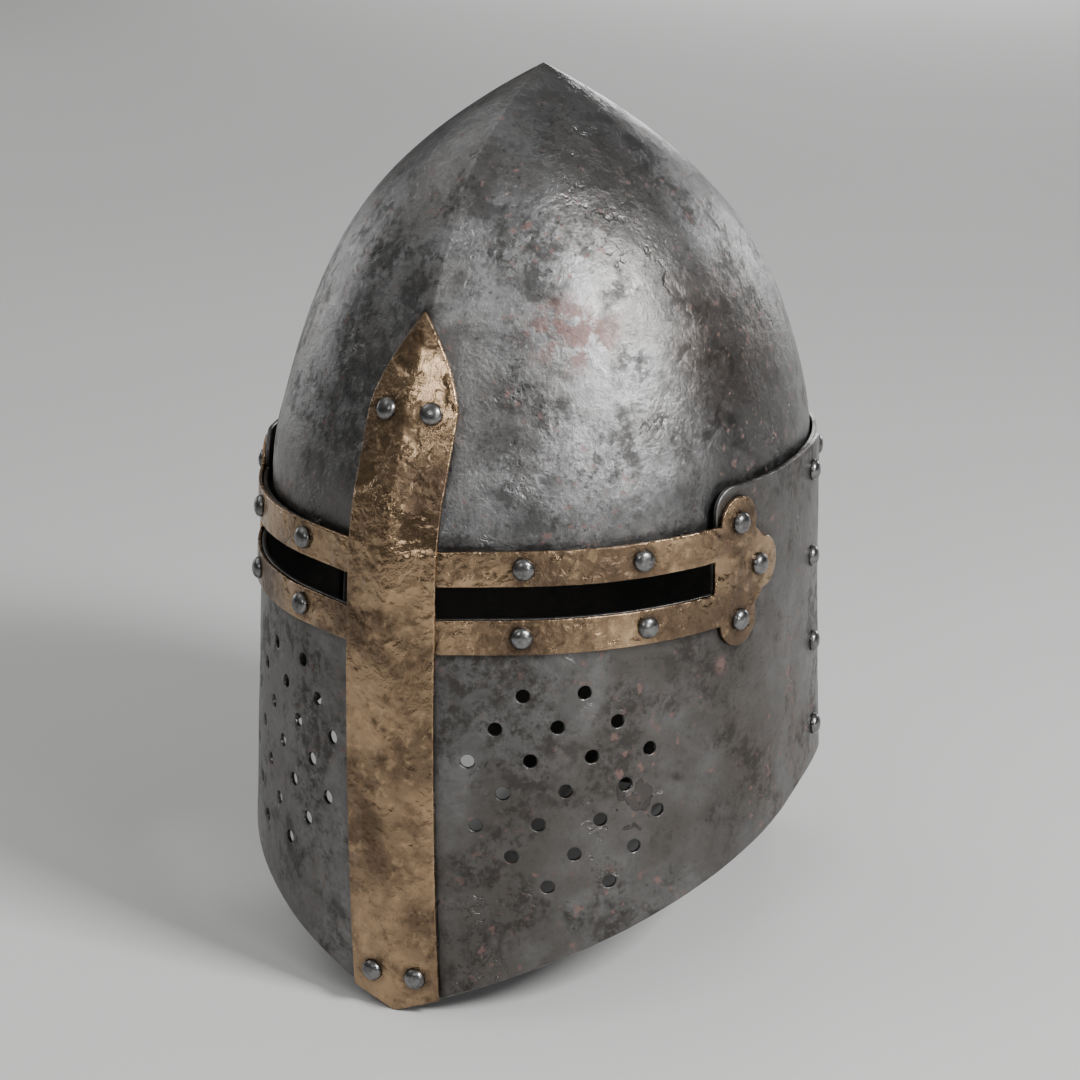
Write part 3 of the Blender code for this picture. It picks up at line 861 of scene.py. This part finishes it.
def steel(name, tones, seed, rust, peeled, browned, stains_and_shade):
    """Forged steel: soft clouds of stain, worn lighter zones, grain, gouges, rust flecks, and
    grime with painted contact shade near joints and rivet feet.
    """
    dark, mid, light, warm = tones
    f = Finish(name)
    broad = f.clouds(60 * MM, seed, 4, 0.55, 0.4)
    cluster = f.clouds(26 * MM, seed + 1, 7, 0.62, 0.3)
    soft = f.clouds(5.5 * MM, seed + 2, 9, 0.72)
    mottle = f.clouds(11 * MM, seed + 3, 9, 0.7, 0.3)
    fine = f.clouds(2.4 * MM, seed + 12, 4, 0.6)
    grime_and_shade, edge = f.noted("grime_and_shade"), f.noted("edge")
    # The listed patches raise the stain clouds; on the plates the two under the left band are
    # painted shade as well as stain
    for spot, size in stains_and_shade:
        cluster = f.plus(cluster, f.times(f.near(spot, size, 0), STAIN_AND_SHADE_GAIN))
    colour = f.blend(f.band(mottle, 0.36, 0.64), mid, light)
    colour = f.blend(f.times(f.band(broad, 0.42, 0.62), 0.8), colour, warm)
    browning = f.times(f.near(*browned), f.band(cluster, 0.36, 0.56))
    colour = f.blend(f.times(browning, 0.7), colour, STEEL_BROWNED)
    # Dark stain clouds, which at the plate patches under the left band are painted shade as
    # well
    stain = f.times(f.band(cluster, 0.44, 0.6), f.band(soft, 0.43, 0.58, 0.12, 1))
    colour = f.blend(f.times(stain, 0.9), colour, dark)
    specks = f.times(f.band(fine, 0.57, 0.66), f.band(cluster, 0.4, 0.56, 0.2, 0.75))
    colour = f.blend(specks, colour, dark)
    flecks = f.band(f.clouds(3.8 * MM, seed + 4, 3), 0.6, 0.67)
    fleck = f.times(flecks, f.band(f.clouds(35 * MM, seed + 5, 2), 0.42, 0.54))
    patch = f.times(f.near(*rust), f.band(f.clouds(8 * MM, seed + 6, 8, 0.7), 0.45, 0.54))
    rusty = f.most(f.times(fleck, 0.7), f.times(patch, 0.75))
    colour = f.blend(rusty, colour, STEEL_RUST)
    rough_edge = f.plus(f.times(f.near(*peeled), 0.5), f.clouds(6 * MM, seed + 11, 4, 0.6))
    flat = f.band(rough_edge, 0.96, 0.98)
    colour = f.blend(f.times(flat, 0.6), colour, dark)
    # Grime and painted contact shade: the steel is darkened near joints and rivet feet
    grimy_and_shaded = f.times(f.band(grime_and_shade, 0.3, 1), f.band(cluster, 0.35, 0.6, 0.5, 1))
    colour = f.blend(f.times(grimy_and_shaded, 0.75), colour, STEEL_GRIME_AND_SHADE)
    bright = f.times(f.band(edge, 0.8, 1), f.band(soft, 0.4, 0.55))
    colour = f.blend(f.times(bright, 0.7), colour, STEEL_WORN)
    gouged = f.band(f.clouds(22 * MM, seed + 8, 5, 0.6), 0.57, 0.66)
    gouges = f.times(f.band(f.clouds(4 * MM, seed + 7, 3, 0.5, 1), 0.48, 0.6), gouged)
    grain = f.times(f.clouds(2 * MM, seed + 10, 6, 0.68), f.band(flat, 0, 1, 1, 0.2))
    grain = f.times(grain, f.band(mottle, 0.4, 0.6, 0.45, 1))
    f.relief(
        [
            (f.clouds(20 * MM, seed + 9, 2, 0.5, 0.6), 0.5 * MM),
            (f.times(f.most(gouges, flat), -1), 0.35 * MM),
            (grain, 0.36 * MM),
        ]
    )
    f.put(f.shader.inputs["Metallic"], f.band(rusty, 0, 1, 1, 0.4))
    roughness = f.plus(f.band(stain, 0, 0.8, 0.3, 0.44), f.band(soft, 0.4, 0.65, 0, 0.08))
    return f.done(colour, f.plus(roughness, f.times(rusty, 0.2)))


def brass(name, seed):
    """Hammered brass, brown with tarnish, darkened by grime and painted contact shade near
    rivets, golden where it is rubbed and where golden glints are painted on the crinkle
    crests.
    """
    f = Finish(name)
    broad = f.clouds(40 * MM, seed, 5, 0.6, 0.5)
    stain = f.clouds(14 * MM, seed + 1, 12, 0.74, 0.2)
    speck = f.clouds(4 * MM, seed + 2, 8, 0.72)
    grime_and_shade, edge = f.noted("grime_and_shade"), f.noted("edge")
    colour = f.blend(f.band(broad, 0.38, 0.62), BRASS_DARK, BRASS_LIGHT)
    tarnish = f.plus(stain, f.times(f.plus(broad, -0.5), -0.5))
    colour = f.blend(f.times(f.band(tarnish, 0.47, 0.64), 0.65), colour, BRASS_TARNISH)
    dots = f.times(f.band(speck, 0.52, 0.6), f.band(tarnish, 0.44, 0.54))
    colour = f.blend(f.times(dots, 0.5), colour, BRASS_SPECK)
    # Grime and painted contact shade: the brass is darkened near rivet feet and the bar
    grimy_and_shaded = f.times(f.band(grime_and_shade, 0.5, 1), f.band(stain, 0.3, 0.6, 0.5, 1))
    colour = f.blend(f.times(grimy_and_shaded, 0.65), colour, BRASS_GRIME_AND_SHADE)
    bright = f.times(f.band(edge, 0.8, 1), f.band(speck, 0.45, 0.58))
    colour = f.blend(f.times(bright, 0.35), colour, BRASS_WORN)
    crinkle = f.clouds(4.2 * MM, seed + 4, 4, 0.58, 0.5)
    crinkled = f.band(f.clouds(20 * MM, seed + 6, 3), 0.4, 0.55, 0.3, 1)
    clean = f.band(f.times(crinkled, tarnish), 0.3, 0.55, 0.22, 0)
    # Rubbed brass and painted glints: golden colour on the crinkle crests where the brass is
    # clean
    rubbed_and_glint = f.times(f.band(crinkle, 0.53, 0.62), clean)
    colour = f.blend(rubbed_and_glint, colour, BRASS_RUBBED_AND_GLINT)
    f.relief(
        [
            (f.clouds(14 * MM, seed + 3, 2, 0.5, 0.8), 0.7 * MM),
            (f.times(crinkle, crinkled), 1.2 * MM),
            (f.times(f.clouds(1.8 * MM, seed + 5, 4, 0.6), crinkled), 0.2 * MM),
        ]
    )
    return f.done(colour, f.band(tarnish, 0.42, 0.62, 0.22, 0.44))


def rivet_steel(name, seed):
    """Smooth steel heads with dark spots."""
    f = Finish(name)
    stain = f.clouds(4 * MM, seed, 8, 0.7)
    colour = f.blend(f.band(stain, 0.45, 0.62), RIVET_LIGHT, RIVET_DARK)
    f.relief([(f.clouds(1.5 * MM, seed + 1, 4), 0.08 * MM)])
    return f.done(colour, f.band(stain, 0.4, 0.65, 0.24, 0.42))


def shaded_inside(name, seed):
    """The unpolished inner faces of the plates, painted near-black as painted shade inside the
    helmet.
    """
    f = Finish(name, 0.6)
    stain = f.clouds(20 * MM, seed, 8, 0.7)
    colour = f.blend(f.band(stain, 0.4, 0.6), INSIDE_SHADE_DARK, INSIDE_SHADE_LIGHT)
    f.relief([(f.clouds(6 * MM, seed + 1, 5), 0.5 * MM)])
    return f.done(colour, f.band(stain, 0.4, 0.6, 0.6, 0.8))


def floor_finish():
    """The same pale tone all over."""
    return Finish("floor", 0).done(FLOOR_COLOUR, FLOOR_ROUGHNESS)


def add_camera():
    azimuth, elevation = math.radians(CAMERA_AZIMUTH), math.radians(CAMERA_ELEVATION)
    right = Vector((math.cos(azimuth), math.sin(azimuth), 0))
    back = Vector((math.sin(azimuth), -math.cos(azimuth), 0)) * math.cos(elevation)
    back.z = math.sin(elevation)
    up = back.cross(right)
    data = bpy.data.cameras.new("camera")
    data.lens, data.sensor_width = FOCAL, SENSOR
    data.clip_start, data.clip_end = 0.01, 100
    camera = bpy.data.objects.new("camera", data)
    bpy.context.scene.collection.objects.link(camera)
    turn = Matrix((right, up, back)).transposed().to_4x4()
    camera.matrix_world = Matrix.Translation(CAMERA_AT) @ turn
    bpy.context.scene.camera = camera


def add_light(name, azimuth, elevation, distance, size, power):
    """A soft panel that faces the helmet, azimuth 0 in front of its face."""
    a, e = math.radians(azimuth), math.radians(elevation)
    way = Vector((math.sin(a) * math.cos(e), -math.cos(a) * math.cos(e), math.sin(e)))
    data = bpy.data.lights.new(name, "AREA")
    data.shape = "RECTANGLE"
    data.size, data.size_y = size
    data.energy = power
    light = bpy.data.objects.new(name, data)
    light.location = Vector((0, 0, LIGHT_AIM)) + way * distance
    light.visible_camera = False
    light.rotation_euler = way.to_track_quat("Z", "Y").to_euler()
    bpy.context.scene.collection.objects.link(light)


# The world is dim at the horizon and soft overhead: its heights, then its strengths
WORLD = {"From Min": 0.2, "From Max": 0.7, "To Min": 0.09, "To Max": 0.28}
FLOOR_HALF = 30
LIGHT_AIM = 0.18

# Lights: name, azimuth, elevation, distance, size, power
LIGHTS = (
    ("key", 76, 36, 1.7, (0.4, 0.4), 38),
    ("low", 57, 13, 1.5, (0.2, 0.2), 3),
    ("front", 8, 31, 1.8, (0.4, 0.4), 3.5),
    ("left fill", -85, 52, 2, (2, 1), 9),
    ("left low", -112, 6, 3, (1.6, 0.3), 8),
    ("left rim", -163, 10, 4.6, (1.2, 0.8), 34),
    ("right rim", 168, 8, 4.6, (1, 0.8), 34),
    ("top", 0, 88, 2.6, (2.6, 2.6), 5),
)


def add_studio():
    mesh = bmesh.new()
    bmesh.ops.create_grid(mesh, x_segments=1, y_segments=1, size=FLOOR_HALF)
    floor = finished("floor", mesh, [floor_finish()])
    world = bpy.data.worlds.new("studio")
    world.use_nodes = True
    nodes, links = world.node_tree.nodes, world.node_tree.links
    nodes["Background"].inputs["Color"].default_value = (1, 1, 1, 1)
    apart = nodes.new("ShaderNodeSeparateXYZ")
    links.new(nodes.new("ShaderNodeTexCoord").outputs["Generated"], apart.inputs[0])
    height = nodes.new("ShaderNodeMapRange")
    links.new(apart.outputs["Z"], height.inputs["Value"])
    for key, value in WORLD.items():
        height.inputs[key].default_value = value
    links.new(height.outputs[0], nodes["Background"].inputs["Strength"])
    bpy.context.scene.world = world
    for light in LIGHTS:
        add_light(*light)


def show(piece, node):
    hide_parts(node)
    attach(piece, "root")


def build():
    add_camera()
    add_studio()
    inside = shaded_inside("inside steel painted shade", 40)
    crown_marks = (CROWN_RUST, CROWN_PEELED, CROWN_BROWNED, CROWN_STAINED)
    plate_marks = (PLATE_RUST, PLATE_PEELED, PLATE_BROWNED, PLATE_STAINS_AND_SHADE)
    crown_steel = steel("crown steel", CROWN_TONES, 3, *crown_marks)
    plate_steel = steel("plate steel", PLATE_TONES, 17, *plate_marks)
    old_brass = brass("aged brass", 60)
    rivets = rivet_steel("rivet steel", 80)

    dome = crown([crown_steel, inside])
    face = face_plate([plate_steel, inside])
    back = back_plate([plate_steel, inside])
    upright = bar([old_brass, old_brass])
    bands = {}
    heads = bar_rivets(rivets)
    for name, side in (("left", 1), ("right", -1)):
        bands[name] = eye_frame(f"{name}_frame_looks", side, [old_brass, old_brass])
        heads += frame_rivets(name, side, rivets)
        heads += seam_rivets(name, side, rivets)

    feet = [spot for _, _, foot in heads for spot in foot]
    bar_line = traced(bar_outline(), on_bar, BRASS)
    band_line = [p for s in (1, -1) for p in traced(frame_outline(s), on_plates, 0)]
    face_line = traced(face_outline(), on_plates, 0)
    back_line = traced(back_outline(BACK_CENTRE - SEAM), back_place, STEEL + GAP)
    # Grime and painted contact shade: darker near the bar, the plate edges, the bands and the
    # rivet feet
    note_nearness(dome, "grime_and_shade", bar_line + face_line + back_line, CROWN_GRIME_AND_SHADE)
    note_nearness(dome, "edge", [(0, APEX_BACK + AXIS_Y, HEIGHT)], POINT_WEAR)
    note_nearness(face, "grime_and_shade", bar_line + band_line + feet, PLATE_GRIME_AND_SHADE)
    note_nearness(face, "edge", face_line, EDGE_WEAR)
    note_nearness(back, "grime_and_shade", face_line + feet, PLATE_GRIME_AND_SHADE)
    note_nearness(back, "edge", back_line, EDGE_WEAR)
    note_nearness(upright, "grime_and_shade", feet, BAR_GRIME_AND_SHADE)
    note_nearness(upright, "edge", traced(bar_outline(), on_bar, 0), EDGE_WEAR)
    for side, name in ((1, "left"), (-1, "right")):
        note_nearness(bands[name], "grime_and_shade", feet + bar_line, FRAME_GRIME_AND_SHADE)
        lines = traced(frame_outline(side), on_plates, -GAP - BRASS)
        lines += traced(slot_outline(side), on_plates, -GAP - BRASS)
        note_nearness(bands[name], "edge", lines, EDGE_WEAR)

    show(dome, "crown")
    show(face, "face_plate")
    show(back, "back_plate")
    show(upright, "bar")
    for name, band in bands.items():
        show(band, f"{name}_frame")
    for node, piece, _ in heads:
        show(piece, node)


build()
